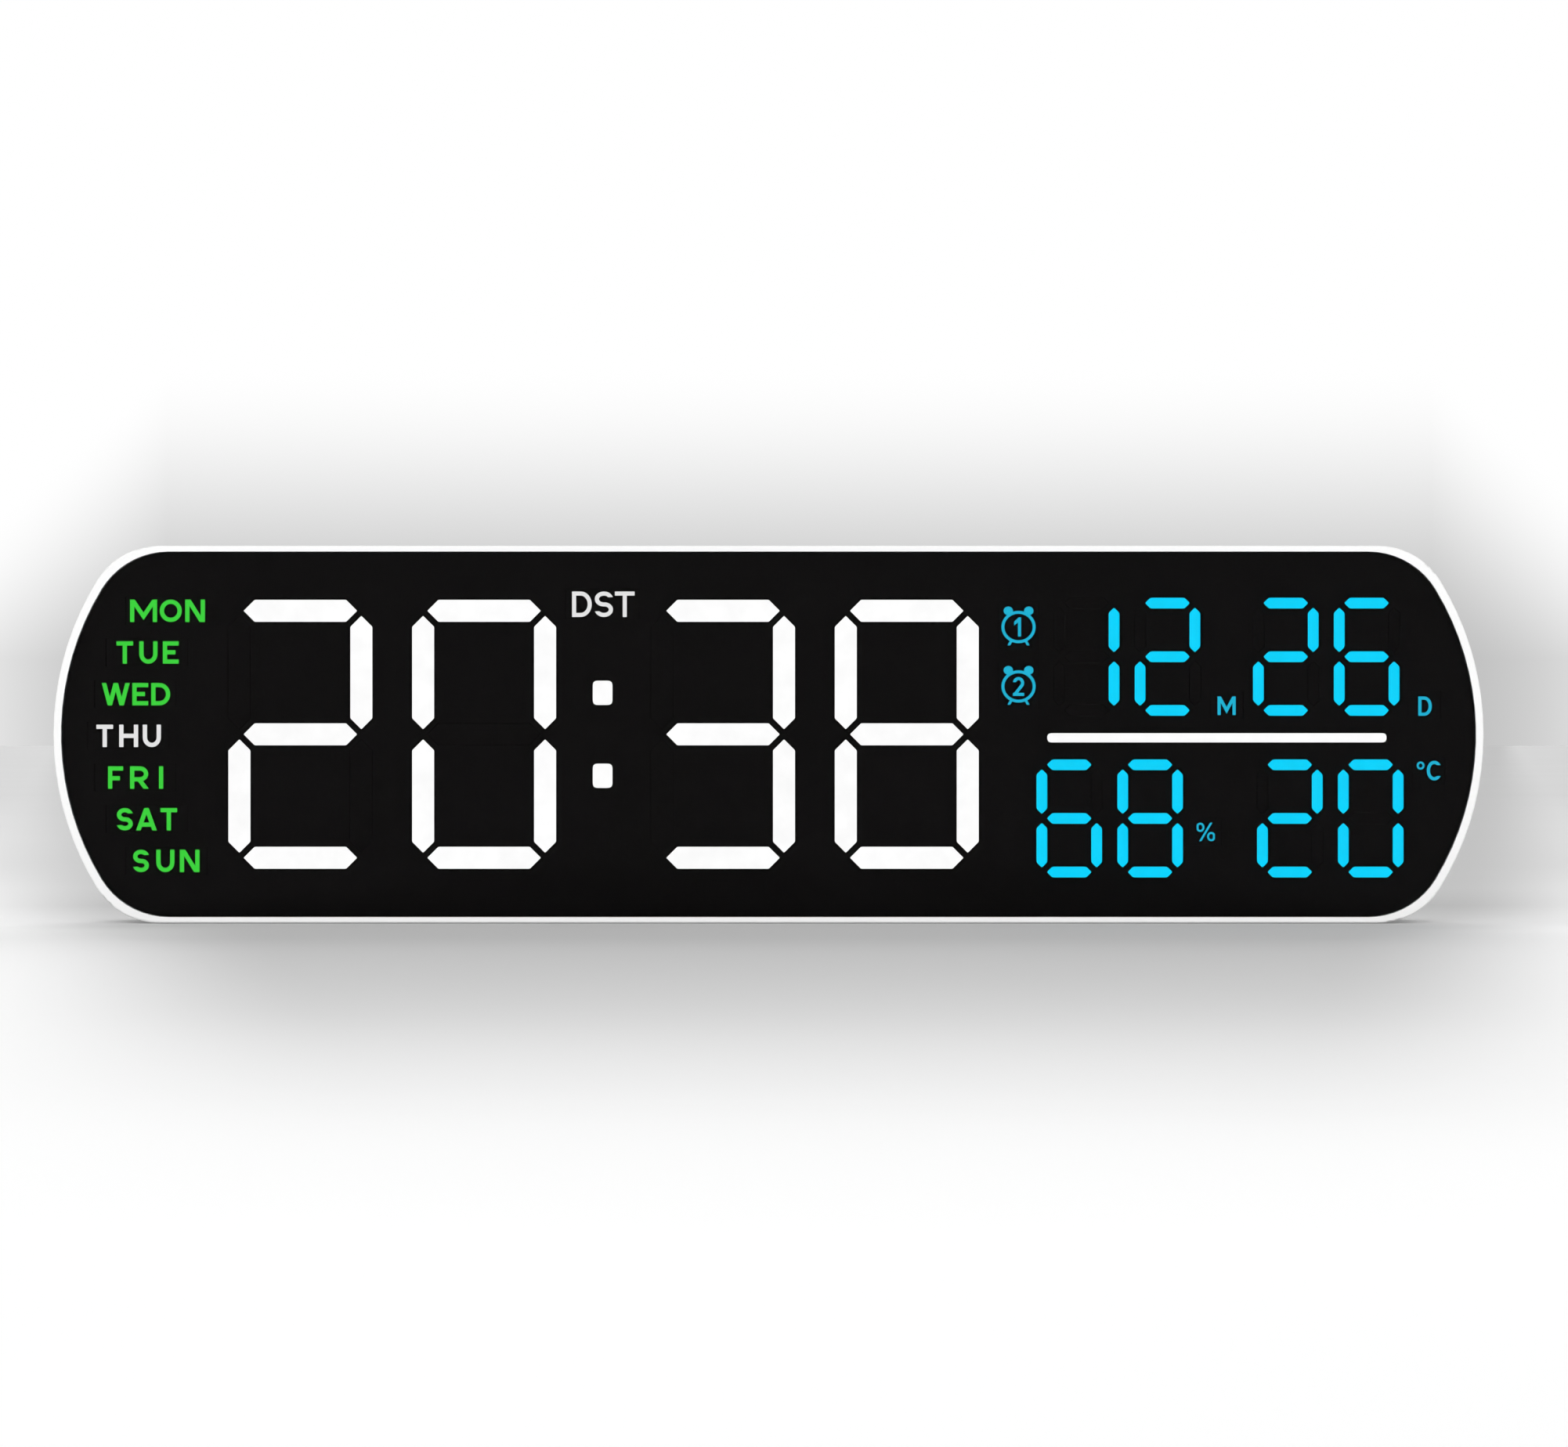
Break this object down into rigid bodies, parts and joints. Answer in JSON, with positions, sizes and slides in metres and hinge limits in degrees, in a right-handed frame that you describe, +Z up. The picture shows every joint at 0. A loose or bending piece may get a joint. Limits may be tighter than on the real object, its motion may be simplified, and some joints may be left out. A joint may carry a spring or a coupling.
{
  "type": "dementia day clock",
  "caption": "Wide round-ended white day clock: dark window lit with time, weekday, date, humidity and temperature; fold-out legs, rear keys, coin-cell door and wall slots.",
  "frame": {"origin": "middle of the flat base the clock stands on: half of its width and depth", "axes": "+X right seen from the front, +Y from the display towards the back, +Z up"},
  "size_m": [0.37, 0.028, 0.0976],
  "materials": {
    "white_gloss_shell": "glossy moulded shell",
    "white_satin_shell": "fine moulded texture",
    "smoked_lens": "polished smoked window",
    "black_mask": "matt black film",
    "white_reflector": "matt reflector plastic",
    "white_light": "milky light bar, lit white",
    "blue_light": "milky light bar, lit blue",
    "green_light": "milky label plate, lit green",
    "circuit_board": "solder-mask green",
    "lamp_resin": "clear yellow lamp resin",
    "chip_resin": "moulded chip resin",
    "tin_can": "plated metal",
    "contact_metal": "sprung contact strip",
    "screw_steel": "zinc-plated steel",
    "black_plastic": "moulded black plastic",
    "grey_key": "moulded light grey key"
  },
  "bodies": {
    "case": {"alarm_buzzer": "black_plastic", "alarm_labels": "blue_light", "board_screws": "screw_steel", "case_screws": "screw_steel", "cell_contact": "contact_metal", "cell_holder": "black_plastic", "climate_sensor": "chip_resin", "clock_chip": "chip_resin", "clock_crystal": "tin_can", "coin_cell": "tin_can", "colon_dots": "white_light", "day_segments": "blue_light", "display_board": "circuit_board", "display_mask": "black_mask", "divider_bar": "white_light", "driver_chips": "chip_resin", "front_bezel": "white_gloss_shell", "front_lens": "smoked_lens", "hinge_pin_left": "screw_steel", "hinge_pin_right": "screw_steel", "hour_tens_segments": "white_light", "hour_units_segments": "white_light", "humidity_segments": "blue_light", "key_switches": "black_plastic", "light_baffle": "white_reflector", "minute_tens_segments": "white_light", "minute_units_segments": "white_light", "month_segments": "blue_light", "rear_cover": "white_satin_shell", "segment_lamps": "lamp_resin", "summer_time_label": "white_light", "temperature_segments": "blue_light", "unit_labels": "blue_light", "usb_inlet": "tin_can", "usb_inlet_tongue": "black_plastic", "weekday_labels": "green_light"},
    "leg_right": {"stand_leg_right": "white_satin_shell"},
    "leg_left": {"stand_leg_left": "white_satin_shell"},
    "door": {"battery_door": "white_satin_shell", "battery_door_screw": "screw_steel"},
    "set_push": {"set_key": "grey_key", "set_key_stem": "black_plastic"},
    "plus_push": {"plus_key": "grey_key", "plus_key_stem": "black_plastic"},
    "minus_push": {"minus_key": "grey_key", "minus_key_stem": "black_plastic"},
    "alarm_push": {"alarm_key": "grey_key", "alarm_key_stem": "black_plastic"}
  },
  "joints": [
    {"name": "leg_right_fold", "type": "hinge", "parent": "case", "child": "leg_right", "pos_m": [0.118, 0.0116, 0.008], "axis": [0, 0, -1], "range_deg": [0, 90]},
    {"name": "leg_left_fold", "type": "hinge", "parent": "case", "child": "leg_left", "pos_m": [-0.118, 0.0116, 0.008], "axis": [0, 0, 1], "range_deg": [0, 90]},
    {"name": "battery_door_lift", "type": "slide", "parent": "case", "child": "door", "axis": [0, 1, 0], "range_m": [0, 0.03]},
    {"name": "set_key_press", "type": "slide", "parent": "case", "child": "set_push", "axis": [0, -1, 0], "range_m": [0, 0.0006], "stiffness_N_per_m": 800, "springref_m": -0.001},
    {"name": "plus_key_press", "type": "slide", "parent": "case", "child": "plus_push", "axis": [0, -1, 0], "range_m": [0, 0.0006], "stiffness_N_per_m": 800, "springref_m": -0.001},
    {"name": "minus_key_press", "type": "slide", "parent": "case", "child": "minus_push", "axis": [0, -1, 0], "range_m": [0, 0.0006], "stiffness_N_per_m": 800, "springref_m": -0.001},
    {"name": "alarm_key_press", "type": "slide", "parent": "case", "child": "alarm_push", "axis": [0, -1, 0], "range_m": [0, 0.0006], "stiffness_N_per_m": 800, "springref_m": -0.001}
  ]
}
